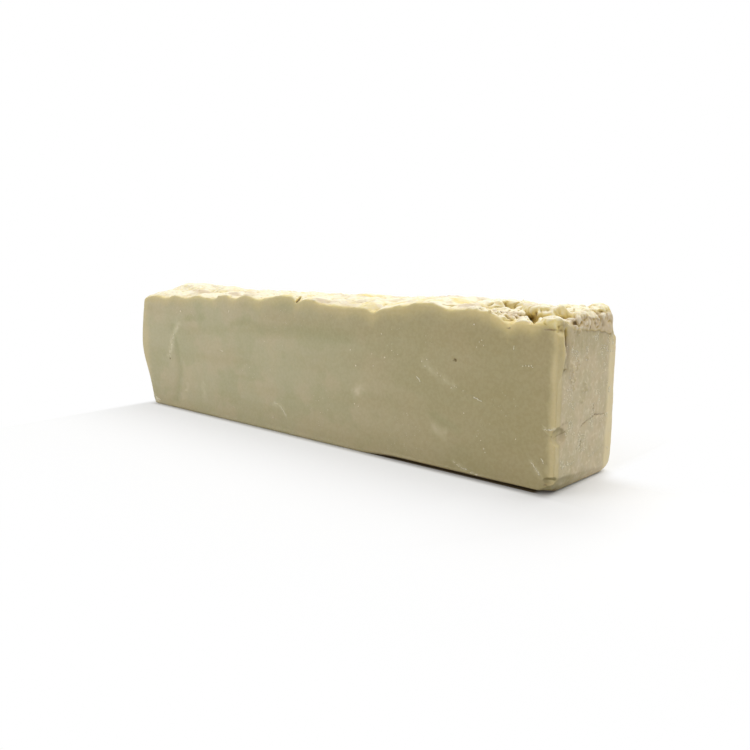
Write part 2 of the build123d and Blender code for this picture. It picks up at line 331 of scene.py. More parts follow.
def soap_material():
    made = bpy.data.materials.new("Olive_oil_soap")
    made.use_nodes = True
    made.node_tree.nodes.clear()
    n = Nodes(made.node_tree)
    place = n.add("ShaderNodeTexCoord").outputs["Object"]
    x, y, z = n.add("ShaderNodeSeparateXYZ", {"Vector": place}).outputs
    facing = n.add("ShaderNodeNewGeometry").outputs["Normal"]
    upward = n.add("ShaderNodeSeparateXYZ", {"Vector": facing}).outputs[2]

    def mask(name):
        return n.add("ShaderNodeAttribute", attribute_name=name, attribute_type="GEOMETRY").outputs["Fac"]

    def cloud(across, detail=3.0, stretch=(1, 1, 1), shift=0.0):
        """Cloudy noise, its clouds about so many millimetres across."""
        turned = n.add("ShaderNodeMapping", {"Vector": place, "Scale": stretch, "Location": (shift,) * 3})
        sizes = {"Scale": 1 / (across * MM), "Detail": detail, "Roughness": 0.55}
        return n.add("ShaderNodeTexNoise", {"Vector": turned.outputs[0], **sizes}).outputs["Fac"]

    def part(amount, share):
        return n.sum("MULTIPLY", amount, share)

    def coated(colour, *coats):
        """The colour with others laid over it in turn, each by its own share."""
        for share, coat in coats:
            colour = n.mix(share, colour, coat)
        return colour

    crust, rim, arris, sunk, cupped, end = map(mask, ("crust", "rim", "arris", "sunk", "cupped", "end"))
    light, dark, grey, green, gold = map(mask, ("light", "dark", "grey", "green", "gold"))

    # the smooth sides: cloudy olive, darker and browner towards the right and the foot
    sides = coated(
        OLIVE,
        (n.range(cloud(30, 2.0), 0.4, 0.6), PINK_CLOUD),
        (part(n.range(cloud(22, 3.0, (1, 1, 1.3), 0.3), 0.48, 0.62), 0.7), GREEN_CLOUD),
        (n.range(x, -0.03, 0.16, 0.0, 0.75), DARK_OLIVE),
        (part(n.range(cloud(11, 3.0, (0.16, 0.3, 1), 0.6), 0.42, 0.68), 0.2), DARK_OLIVE),
        (part(n.range(z, 0.014, 0.0), 0.3), DARK_OLIVE),
        (part(green, 0.5), GREEN_SMEAR),
    )

    # the cut end: paler and mottled
    cut_end = coated(
        CUT_END,
        (n.range(cloud(13, 2.0, shift=0.1), 0.42, 0.6), GREEN_END),
        (part(n.range(cloud(2.2, 3.0, shift=0.45), 0.5, 0.74), 0.3), WHITE_FLECK),
        (part(n.range(cloud(4.4, 3.0, shift=0.85), 0.52, 0.74), 0.22), DARK_OLIVE),
    )

    # the torn crust: cream, with painted shade that makes it yellow down the sides of its breaks and brown
    # in its depths, and a painted highlight on its crests
    torn = coated(
        PALE_CRUST,
        (n.range(cloud(12, 3.0, shift=0.7), 0.5, 0.64), GREY_CRUST),
        (part(n.range(cloud(9, 2.0, shift=0.4), 0.55, 0.68), 0.5), GOLD_CRUST),
        (part(n.range(cloud(2.4, 2.0, (0.5, 0.5, 1), 0.15), 0.6, 0.7), 0.3), HOLLOW),
        (gold, GOLD_CRUST),
        # painted shade: sides facing away from the top, and sunk points, are yellower
        (n.range(upward, 0.9, 0.4, 0.0, 0.8), TORN_SIDE_SHADE),
        (n.range(sunk, -0.4, 1.2, 0.0, 0.85), TORN_SIDE_SHADE),
        (part(grey, 0.85), TORN_GREY),
        # painted shade, browner the deeper a point is sunk or cupped
        (n.range(sunk, 0.8, 3.0), HOLLOW),
        (part(n.range(cupped, 0.15, 1.2), 0.8), HOLLOW),
        (part(n.range(cupped, 0.9, 2.2), 0.8), BROWN_HOLLOW),
        # a painted highlight on the crests
        (part(n.range(cupped, -0.3, -1.6), 0.45), PALE_CRUST),
        (n.range(sunk, 2.8, 6.0), BROWN_HOLLOW),
    )

    # painted highlight on the arrises, a darker band under the crust's rim, the rim's yellow that is partly
    # a painted glow, and painted shade under the right end
    arris_highlight = n.mix(n.range(y, 0.0, 0.02), ARRIS_HIGHLIGHT, BACK_ARRIS_HIGHLIGHT)
    high_band = part(n.range(z, 0.052, 0.062), n.range(x, -0.08, 0.02))
    by_the_break = part(n.range(x, 0.1, 0.115), n.range(x, 0.143, 0.13))
    # the rim's yellow, partly a painted glow of light through the thin edge, stronger by the break
    rim_yellow_and_glow = part(rim, n.sum("ADD", 0.45, part(by_the_break, 0.45)))
    low_or_folded = n.sum("MAXIMUM", n.range(z, 0.036, 0.032), n.range(y, -0.019, -0.021))
    underneath = part(n.range(upward, -0.1, -0.5), part(low_or_folded, n.range(light, 0.2, 0.0)))
    at_right_end = part(n.range(x, 0.135, 0.143), n.range(y, 0.014, -0.024))
    fine_specks = n.range(cloud(1.4, 2.0, shift=0.2), 0.35, 0.65, 0.0, 0.05)
    colour = coated(
        sides,
        (end, cut_end),
        (part(arris, 0.8), arris_highlight),
        (part(high_band, 0.3), DARK_OLIVE),
        (rim_yellow_and_glow, YELLOW_RIM),
        (part(underneath, at_right_end), SHADED_FOOT),
        (crust, torn),
        (fine_specks, WHITE_FLECK),
        (part(light, 0.75), WHITE_FLECK),
        # painted shade in cracks, creases, holes and under the lifted foot, and soft dark spots
        (part(dark, 0.9), BROWN_HOLLOW),
    )

    # the finish: waxy on the cut sides and duller where the soap is torn
    waxy = n.range(cloud(6, 2.0, shift=0.9), 0.3, 0.7, 0.42, 0.58)
    rough = n.sum("ADD", waxy, part(crust, 0.08))
    height = n.sum("ADD", cloud(0.9, 2.0), part(cloud(3.5, 2.0, (1, 1, 0.5)), 1.5))
    bump = n.add("ShaderNodeBump", {"Height": height, "Strength": 0.25, "Distance": 0.0002})
    look = n.add(
        "ShaderNodeBsdfPrincipled",
        {
            "Base Color": colour,
            "Roughness": rough,
            "Normal": bump.outputs[0],
            "IOR": 1.46,
            "Specular IOR Level": 0.4,
            "Subsurface Weight": 0.25,
            "Subsurface Radius": (1.0, 0.78, 0.4),
            "Subsurface Scale": 0.0012,
        },
    )
    out = n.add("ShaderNodeOutputMaterial")
    made.node_tree.links.new(look.outputs[0], out.inputs[0])
    return made


soap = soap_material()


# Crumbs strewn over the torn crust, by geometry nodes

CRUMBS_PER_SQUARE_METRE = 120000.0
SMALLEST_CRUMB = 0.6 * MM
LARGEST_CRUMB = 1.9 * MM
SQUASHED_MOST = (0.7, 0.5, 0.4)
SQUASHED_LEAST = (1.3, 1.0, 0.8)
FULL_TURN = (6.28, 6.28, 6.28)


def crumb_tree():
    tree = bpy.data.node_groups.new("Crumbs", "GeometryNodeTree")
    face = tree.interface
    for name, kind in (
        ("Crust", "NodeSocketGeometry"),
        ("Per square metre", "NodeSocketFloat"),
        ("Smallest", "NodeSocketFloat"),
        ("Largest", "NodeSocketFloat"),
        ("Seed", "NodeSocketInt"),
        ("Soap", "NodeSocketMaterial"),
    ):
        face.new_socket(name, in_out="INPUT", socket_type=kind)
    face.new_socket("Crumbs", in_out="OUTPUT", socket_type="NodeSocketGeometry")
    n = Nodes(tree)
    given = n.add("NodeGroupInput").outputs
    crumbly = n.add("GeometryNodeInputNamedAttribute", {"Name": "crumbly"}, data_type="FLOAT").outputs[0]
    strewn = n.add(
        "GeometryNodeDistributePointsOnFaces",
        {
            "Mesh": given["Crust"],
            "Density": n.sum("MULTIPLY", crumbly, given["Per square metre"]),
            "Seed": given["Seed"],
        },
        distribute_method="RANDOM",
    )
    sizes = {2: given["Smallest"], 3: given["Largest"], "Seed": 5}
    size = n.add("FunctionNodeRandomValue", sizes, data_type="FLOAT").outputs[1]
    turns = {0: (0, 0, 0), 1: FULL_TURN, "Seed": 3}
    turn = n.add("FunctionNodeRandomValue", turns, data_type="FLOAT_VECTOR").outputs[0]
    squashes = {0: SQUASHED_MOST, 1: SQUASHED_LEAST, "Seed": 7}
    squash = n.add("FunctionNodeRandomValue", squashes, data_type="FLOAT_VECTOR").outputs[0]
    shape = n.add("ShaderNodeVectorMath", {0: squash, "Scale": size}, operation="SCALE").outputs[0]
    pebble = n.add("GeometryNodeMeshIcoSphere", {"Radius": 1.0, "Subdivisions": 2})
    placed = n.add(
        "GeometryNodeInstanceOnPoints",
        {
            "Points": strewn.outputs["Points"],
            "Instance": pebble.outputs["Mesh"],
            "Rotation": turn,
            "Scale": shape,
        },
    )
    real = n.add("GeometryNodeRealizeInstances", {"Geometry": placed.outputs[0]})
    dressed = n.add("GeometryNodeSetMaterial", {"Geometry": real.outputs[0], "Material": given["Soap"]})
    n.add("NodeGroupOutput", {"Crumbs": dressed.outputs[0]})
    return tree


def strewn_crumbs(block):
    """A mesh of crumbs strewn over the crust of the block, thickest at the broken end."""
    points = points_of(block)
    set_attribute(block, "crumbly", crust_share(points) * crumbly_share(points))
    inputs = {
        "Per square metre": CRUMBS_PER_SQUARE_METRE,
        "Smallest": SMALLEST_CRUMB,
        "Largest": LARGEST_CRUMB,
        "Seed": 4,
        "Soap": soap,
    }
    return through_modifier(block, "NODES", inputs, node_group=crumb_tree())


# Where crumbs lie thickly, as (x, y, z) and the reach along each
CRUMBLY_PATCHES = (
    ((115.0, -17.0, 69.5), (12.0, 9.5, 3.0)),
    ((144.0, -8.0, 67.0), (4.5, 9.0, 5.0)),
    ((143.0, 13.0, 70.0), (4.5, 5.0, 3.0)),
)

# Lumps broken up at the right end, as
# (x, y, z), (half length, half width, half height), (turn about z, tilt up along it), roughness
LUMPS = (
    ((127.6, -6.0, 70.7), (7.0, 4.3, 3.2), (4, 0), 0.4),
    ((120.4, -3.8, 70.1), (3.6, 4.2, 3.7), (-20, 4), 0.3),
    ((140.2, -21.0, 67.8), (4.5, 3.1, 2.9), (6, 0), 0.7),
    ((143.9, -17.6, 65.8), (1.7, 2.0, 1.7), (0, 0), 0.6),
    ((143.4, -14.8, 67.2), (1.8, 1.7, 1.5), (30, 0), 0.6),
    ((143.0, -18.4, 68.2), (1.3, 1.5, 1.2), (0, 0), 0.6),
    ((142.6, -12.2, 68.6), (1.7, 1.5, 1.3), (50, 0), 0.6),
    ((143.8, -11.2, 66.2), (1.5, 1.9, 1.4), (0, 0), 0.6),
    ((143.0, -3.4, 68.0), (2.6, 4.0, 3.7), (0, 0), 1.0),
    ((141.2, 18.0, 69.0), (4.0, 6.8, 4.3), (8, 0), 0.5),
)
SQUARENESS = 2.8

# The thin flake with a pointed tip that leans out over the end, as (x, y, z) round its upper face
FLAKE = (
    (136.2, -2.0, 72.7),
    (139.4, 2.0, 73.3),
    (142.0, 7.0, 72.5),
    (145.4, 9.2, 68.7),
    (144.4, 5.4, 69.1),
    (142.4, 0.5, 70.1),
    (139.8, -3.0, 71.1),
)
FLAKE_THICKNESS = (-1.3, 0.3, -1.4)
FLAKE_RIM = ((-3.0, 70.4), (0.5, 69.6), (5.4, 68.6), (9.2, 68.2))
FLAKE_CREST = ((-3.0, 71.4), (2.0, 73.3), (7.0, 72.5), (9.2, 68.7))


def rough_lump(mesh_maker, place, sizes, angles, roughness, seed):
    """A knobbly egg of soap, turned and tilted in place."""
    turn, tilt = (math.radians(a) for a in angles)
    turned = Matrix.Rotation(turn, 3, "Z") @ Matrix.Rotation(-tilt, 3, "Y")
    new = bmesh.ops.create_icosphere(mesh_maker, subdivisions=4, radius=1.0)["verts"]
    points = np.array([v.co for v in new])
    points /= (np.abs(points) ** SQUARENESS).sum(axis=1)[:, None] ** (1 / SQUARENESS)
    points *= sizes
    outward = points / np.linalg.norm(points, axis=1)[:, None]
    points += outward * (craggy(points, 4.0, seed) * roughness)[:, None]
    for vertex, point in zip(new, points):
        vertex.co = metres(turned @ Vector(point) + Vector(place))


def thin_flake(mesh_maker):
    """A flake of even thickness inside the edge points given for it."""
    top = [mesh_maker.verts.new(metres(p)) for p in FLAKE]
    under = [mesh_maker.verts.new(metres(np.add(p, FLAKE_THICKNESS))) for p in FLAKE]
    sides = [mesh_maker.faces.new(top), mesh_maker.faces.new(under[::-1])]
    for i, vertex in enumerate(top):
        sides.append(mesh_maker.faces.new((vertex, top[i - 1], under[i - 1], under[i])))
    bmesh.ops.recalc_face_normals(mesh_maker, faces=sides)


def block_with_crumbs():
    """The cast block with the crumbs and lumps that stand on its crust, not yet made one."""
    maker = bmesh.new()
    maker.from_mesh(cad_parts["soap_bar"].data)
    bmesh.ops.remove_doubles(maker, verts=maker.verts, dist=0.00001)
    block = bpy.data.meshes.new("block")
    maker.to_mesh(block)
    maker.from_mesh(strewn_crumbs(block))
    for seed, lump in enumerate(LUMPS):
        rough_lump(maker, *lump, seed=40 + seed)
    thin_flake(maker)
    maker.to_mesh(block)
    maker.free()
    return block


def made_one(mesh):
    """Everything grown together into one closed skin of even small faces."""
    return through_modifier(mesh, "REMESH", mode="VOXEL", voxel_size=VOXEL * MM)


def thinned(mesh):
    """The mesh with its flat parts thinned out until it has few enough triangles."""
    return through_modifier(mesh, "DECIMATE", ratio=min(MOST_TRIANGLES / triangles(mesh), 1.0))


# Pale specks on the front face, as (x, z, radius)
SPECKS = (
    (106.8, 65.8, 0.4), (110.7, 59.6, 0.3), (109.5, 58.7, 0.3), (111.6, 57.4, 0.35), (108.3, 56.5, 0.25),
    (55.9, 58.2, 0.45), (62.1, 50.9, 0.35), (57.9, 47.3, 0.4), (65.7, 49.4, 0.25), (130.1, 50.7, 0.4),
    (131.5, 51.1, 0.3), (132.8, 51.0, 0.4), (134.0, 51.3, 0.35), (134.6, 50.7, 0.25), (102.4, 27.6, 0.4),
    (109.4, 18.7, 0.3), (111.3, 17.2, 0.3), (112.9, 13.9, 0.4), (113.6, 12.4, 0.3), (128.0, 20.6, 0.35),
    (-103.5, 59.9, 0.6), (-72.1, 68.7, 0.35), (-40.2, 32.4, 0.35), (36.1, 48.9, 0.4), (50.0, 48.3, 0.3),
    (50.8, 42.7, 0.3), (39.6, 41.6, 0.45), (38.7, 22.9, 0.35), (41.2, 22.0, 0.35), (15.3, 15.2, 0.3),
    (20.7, 17.3, 0.3), (79.6, 47.7, 0.35), (82.4, 48.8, 0.35), (81.5, 45.7, 0.35), (95.6, 37.7, 0.35),
    (97.3, 38.7, 0.35), (-27.0, 48.0, 0.3), (-21.3, 7.1, 0.5),
)

# Scratches on the front face, as a path through (x, z), half width and how much of it shows
SCRATCHES = (
    (((76.6, 40.7), (78.8, 38.7)), 0.45, 1.0),
    (((107.3, 35.1), (109.3, 34.5), (111.4, 33.8)), 0.35, 0.9),
    (((84.5, 45.4), (90.0, 42.0), (95.6, 37.7)), 0.2, 0.25),
    (((97.3, 38.7), (102.0, 37.0), (107.3, 35.1)), 0.25, 0.3),
    (((-57.0, 63.1), (-57.1, 61.7)), 0.3, 0.9),
    (((-67.9, 40.2), (-66.2, 39.8), (-63.3, 39.3)), 0.3, 0.6),
    (((125.9, 58.6), (125.6, 56.3)), 0.25, 0.6),
    (((97.4, 5.2), (101.4, 3.5), (107.2, 2.2)), 0.25, 0.7),
    (((107.2, 2.2), (111.7, 1.5)), 0.4, 0.9),
    (((135.2, 12.8), (137.6, 9.6), (139.9, 7.0)), 0.3, 0.6),
    (((139.6, 14.6), (140.8, 12.8)), 0.3, 0.7),
    (((140.4, 26.8), (142.2, 26.6), (144.2, 27.1)), 0.4, 1.0),
    (((-20.0, 15.5), (-15.0, 14.1), (-11.2, 10.0)), 0.3, 0.6),
    (((-112.5, 45.7), (-114.3, 40.1), (-117.6, 32.1)), 0.4, 0.4),
    (((-136.8, 4.4), (-133.0, 2.6), (-129.8, 2.1)), 0.5, 0.9),
)

# Pale scuffs on the front face, as a path through (x, z), half width and strength
SCUFFS = (
    (((-106.8, 51.4), (-112.5, 45.7), (-114.3, 40.1), (-117.6, 32.1)), 3.0, 0.5),
    (((42.8, 30.8), (39.6, 28.6)), 4.0, 0.45),
    (((87.0, 18.9), (92.5, 16.4)), 3.4, 0.3),
    (((79.6, 47.7), (90.0, 42.0), (97.3, 38.7)), 2.6, 0.25),
    (((-20.0, 15.5), (-15.0, 14.1), (-11.2, 10.0)), 1.8, 0.35),
    (((97.4, 5.2), (107.2, 2.2), (111.7, 1.5)), 1.4, 0.35),
    (((135.2, 12.8), (139.9, 7.0)), 1.6, 0.4),
    (((-137.5, 4.8), (-132.0, 1.5)), 2.2, 0.9),
    (((-100, 15), (-104, 7)), 2.6, 0.3),
    (((-83, 18), (-82, 9)), 3.0, 0.25),
    (((60, -0.2), (85, 0.1), (93, 0.4)), 0.8, 0.7),
    (((140.6, 26.8), (145.0, 27.4)), 0.9, 0.8),
)

# Dark green smears and the shallow groove beside the left end, as paths through (x, z) and half width
FRONT_GROOVE = ((-113, 50), (-109, 38), (-106, 24), (-111, 6))
SMEARS = (
    (FRONT_GROOVE, 5.0),
    (((-98, 56), (-82, 58)), 3.5),
    (((-55, 55), (-40, 58)), 3.5),
    (((-30, 54), (0, 56), (34, 54)), 5.0),
    (((86, 24), (100, 20)), 3.0),
)

# Cracks in the right end, as paths through (y, z), half width and depth; the first four are also painted
# dark as their shade
END_CRACKS = (
    (((17, 26.6), (13, 27.0), (8.5, 27.6), (4.5, 26.6), (1.2, 26.4), (-1.5, 25.6), (-4.5, 24.6)), 0.4, 0.5),
    (((6.4, 30.0), (7.0, 32.8)), 0.5, 0.3),
    (((-4.2, 18.2), (-4.4, 16.0)), 0.7, 0.5),
    (((-24.5, 26.4), (-22, 27.8), (-19.5, 28.6), (-16.5, 28.4)), 0.5, 0.3),
    (((1.2, 8.5), (8.6, 9.9), (15.2, 11.7), (19, 15)), 1.4, 0.12),
)

# The fold in the front arris of the right end: where it lies, its reach and how far it hangs down
FOLD = (145.5, -22.5, 32.0)
FOLD_REACH = (8.0, 12.0, 14.0)
FOLD_DROP = 4.6

# The gaps behind the lumps, as (x, y), their reach along each and their depth
GAPS = (
    ((138.4, -9.0), (4.8, 5.0), 3.2),
    ((132.6, -14.6), (7.6, 4.0), 2.8),
)

# The lower back corner of the right end, rounded about this (y, z)
WORN_RADIUS = 9.0
WORN_FOOT = (HALF_WIDTH - WORN_RADIUS, WORN_RADIUS)

# Creases in the crust, as paths through (x, y), half width and depth; each is also painted dark as its
# shade
CREASES = (
    (((-1.5, -27.0), (-2.8, -23.5), (-4.4, -20.0)), 1.0, 1.3),
    (((49.5, -27.0), (51.5, -24.5)), 1.3, 1.2),
    (((-114.5, -13.5), (-111.5, -18.5)), 0.8, 0.5),
    (((-92.0, -7.5), (-86.0, -9.0)), 0.8, 0.5),
    (((-79.0, -11.0), (-72.0, -12.5)), 0.8, 0.5),
    (((30.0, -16.0), (38.0, -12.0)), 0.9, 0.5),
    (((88.0, -22.0), (92.5, -17.0)), 0.9, 0.8),
    (((108.0, -24.0), (104.0, -19.0)), 0.7, 0.5),
)

# Golden patches of the crust, as paths through (x, y) and half width
GOLD_PATCHES = (
    (((40, -17), (50, -9)), 6.0),
    (((58, -19), (82, -17)), 8.0),
    (((84, -12), (92, -11)), 5.0),
    (((-30, -25), (-8, -25)), 5.0),
    (((-95, 8), (-60, -6)), 7.0),
    (((-20, 12), (30, 9)), 7.0),
)

# Small holes, painted dark as their shade, as (x, y, z) and their reach along each
HOLES = (
    ((97.5, -26.25, 50), (1.0, 2.0, 0.9)),
    ((-116.9, -26.25, 30.0), (0.8, 2.0, 0.8)),
    ((123.6, -25.5, 65.3), (0.8, 2.0, 0.8)),
    ((141.4, -25.2, 66.0), (3.6, 2.0, 0.45)),
    ((144.2, -22.8, 65.7), (1.6, 1.6, 0.9)),
    ((145.4, -0.2, 65.4), (2.0, 1.0, 1.2)),
    ((142.0, -26.2, 4.3), (1.3, 1.2, 0.5)),
)

# Soft dark spots, golden painted shade in the depths between the lumps, and grey patches of the crust,
# each as (x, y, z) and its reach along each
DARK_SPOTS = (
    ((145.4, -19.4, 25.2), (2.0, 2.2, 4.4)),
    ((145.5, -5.0, 26.5), (1.5, 0.9, 2.6)),
    ((145.5, -4.6, 17.5), (1.5, 0.9, 2.4)),
    ((145.0, -12.0, 66.0), (2.4, 1.6, 2.0)),
    ((145.0, 5.0, 66.6), (2.4, 3.0, 1.0)),
    ((139.2, -26.25, 41.4), (0.9, 1.6, 2.6)),
    ((144.4, -21.0, 67.6), (1.8, 2.8, 2.2)),
    ((145.2, 11.0, 65.6), (3.0, 3.4, 3.0)),
    ((144.8, -5.4, 69.4), (2.4, 2.0, 2.8)),
    ((16.4, -26.25, 28.8), (0.8, 1.6, 2.4)),
)
DEPTHS = (
    ((109.5, -1.5, 69.5), (8.0, 6.0, 3.0)),
    ((128.5, -11.0, 68.6), (9.0, 3.4, 2.8)),
    ((138.6, -10.0, 68.5), (6.0, 5.0, 3.0)),
    ((142.5, -16.0, 66.5), (3.0, 3.0, 2.6)),
    ((134.0, -13.6, 67.4), (7.0, 4.4, 3.0)),
    ((146.0, 3.0, 68.4), (3.0, 4.0, 1.0)),
)
GREY_PATCHES = (
    ((144.5, -5, 66.5), (5.0, 8.5, 5.5)),
    ((144, 15, 66), (5.0, 8.0, 5.5)),
    ((116, -16, 70), (11.0, 8.0, 3.0)),
    ((-100, -12, 72), (14.0, 6.0, 5.0)),
    ((-60, -20, 72), (10.0, 4.0, 5.0)),
    ((15, -22, 72), (10.0, 4.0, 6.0)),
    ((99, -19, 72), (7.0, 5.0, 5.0)),
)


def round_spots(points, spots):
    """How near each point lies to the middle of a spot, from 1 there to 0 at its reach."""
    nearness = np.zeros(len(points))
    for place, reach in spots:
        away = np.linalg.norm((points - place) / reach, axis=1)
        nearness = np.maximum(nearness, 1 - ease(0.35, 1.0, away))
    return nearness


def slit_share(points):
    """1 inside the slit between the lip and the torn end."""
    x, y, z = points.T
    inward = RIGHT_END - x
    beside = ease(-23.8, -22.8, y) * ease(-16.4, -18.0, y)
    return beside * ease(48, 51, z) * ease(68, 65, z) * ease(-0.4, 0.8, inward) * ease(8.5, 6.5, inward)


def ragged_share(points):
    """How far a crease shows, which fades and breaks off along its way."""
    return np.clip(0.7 + craggy(points, 3.0, 10, 2), 0, 1)


# How high the relief of each surface stands, and how deep the marks in the front face are
CRUST_SWELLS = 0.35
CRUST_GRIT = 0.26
CRUMBLY_GRIT = 0.55
BROKEN_CRACKS = 0.5
CALM_SWELLS = 0.35
SIDE_WAVES = 0.22
FRONT_RIPPLES = 0.05
END_WAVES = 0.3
END_GRAIN = 0.07
GROOVE_DEPTH = 0.45
SCRATCH_DEPTH = 0.15

# How far the left end is moved out, and how far the foot of the front face is lifted
LEFT_END_SHIFT = 1.0
FOOT_LIFT = 1.3

# A dip this deep among its nearest points counts as fully cupped
CUP_DEPTH = 0.12


def worked(mesh):
    """The skin with the facets of its crust softened and every surface given its own relief."""
    points, edges = points_of(mesh), edges_of(mesh)
    broken = broken_share(points)
    crumbly = crumbly_share(points)
    high = ease(56, 60, points[:, 2])
    soft = spread(points, edges, 2)
    points += (soft - points) * (0.8 - 0.5 * crumbly)[:, None]
    softest = spread(points, edges, 24)
    left_end = 1 - ease(-140, -132, points[:, 0])
    points += (softest - points) * np.maximum(high * (1 - broken), 0.5 * left_end)[:, None]
    set_points(mesh, points)
    normals = normals_of(mesh)
    x, y, z = points.T
    crust = crust_share(points)

    # the torn crust: swells and grit all over, cracks where it is broken and creases where it is calm
    rise = craggy(points, 8.0, 1) * CRUST_SWELLS + craggy(points, 2.8, 5, 2) * CRUST_GRIT
    rise += crumbly * craggy(points, 2.0, 7, 2) * CRUMBLY_GRIT
    cracked = np.abs(craggy(points, 6.0, 8, 2))
    rise += broken * (0.5 - np.minimum(cracked * 3, 1)) * -BROKEN_CRACKS
    rise += (1 - broken) * craggy(points, 12.0, 9) * CALM_SWELLS
    ragged = ragged_share(points)
    for path, half_width, depth in CREASES:
        rise -= along_path(x + 0.8 * (ragged - 0.7), y, path, half_width) * depth * ragged
    offset = rise * crust

    # the smooth sides and the cut end: slow waves, a groove, scratches and cracks
    side = 1 - crust
    front = side * ease(HALF_WIDTH - 1.0, HALF_WIDTH - 0.4, -y)
    flat = ease(HALF_WIDTH - 0.3, HALF_WIDTH - 0.1, np.abs(y))
    ripples = FRONT_RIPPLES * front * (lumpy(points, 5.0, 21) - 1)
    waves = SIDE_WAVES * (lumpy(points, 30.0, 20) - flat) + ripples
    end = ease(RIGHT_END - 2.5, RIGHT_END - 1.2, x)
    grain = end * (END_WAVES * lumpy(points, 8.0, 22) + END_GRAIN * craggy(points, 2.4, 23, 2))
    offset += side * (waves + grain) * ease(0.3, 3.0, z)
    offset -= front * along_path(x, z, FRONT_GROOVE, 6.0) * GROOVE_DEPTH
    for path, half_width, _ in SCRATCHES:
        offset -= front * along_path(x, z, path, half_width + 0.8) * SCRATCH_DEPTH
    uneven = 0.7 + 0.5 * lumpy(points, 2.2, 31)
    for path, half_width, depth in END_CRACKS:
        offset -= side * end * along_path(y, z, path, half_width) * depth * uneven
    points += normals * offset[:, None]

    # the fold in the front arris of the right end hangs lower, and the left end stands out fully
    away = np.linalg.norm((points - FOLD) / FOLD_REACH, axis=1)
    points[:, 2] -= FOLD_DROP * (1 - ease(0.25, 1.0, away))
    points[:, 0] -= LEFT_END_SHIFT * (1 - ease(-146, -134, points[:, 0]))

    # the gaps behind the lumps are deeper
    for place, reach, depth in GAPS:
        beside = np.linalg.norm((points[:, :2] - place) / reach, axis=1)
        points[:, 2] -= depth * (1 - ease(0.45, 1.0, beside)) * ease(65, 68, z)

    # the lower back corner of the right end is worn round
    reach = np.hypot(np.maximum(points[:, 1] - WORN_FOOT[0], 0), np.maximum(WORN_FOOT[1] - points[:, 2], 0))
    pull = np.maximum(1 - WORN_RADIUS / np.maximum(reach, WORN_RADIUS), 0) * ease(112, 138, x)
    points[:, 1] -= np.maximum(points[:, 1] - WORN_FOOT[0], 0) * pull
    points[:, 2] += np.maximum(WORN_FOOT[1] - points[:, 2], 0) * pull

    # the loaf's foot stands a hair off the table along the right half of its front edge
    points[:, 2] += FOOT_LIFT * ease(40, 66, x) * ease(17.0, 24.5, -y) * (1 - ease(0.0, 3.5, z))
    points = inside_cad_box(points)
    set_points(mesh, points)
    cupped = ((spread(points, edges, 6) - points) * normals_of(mesh)).sum(axis=1)
    set_attribute(mesh, "cupped", spread(cupped / CUP_DEPTH, edges, 1))
    return mesh


# How far down, in millimetres, the rims are painted yellow, partly the soap's own and partly a painted
# glow, and how deep the slit and the depths are painted as shade
RIM_HEIGHT = 7.0
SLIT_SUNK = 1.6
DEPTHS_SUNK = 2.6
CREST_COLUMNS = 320


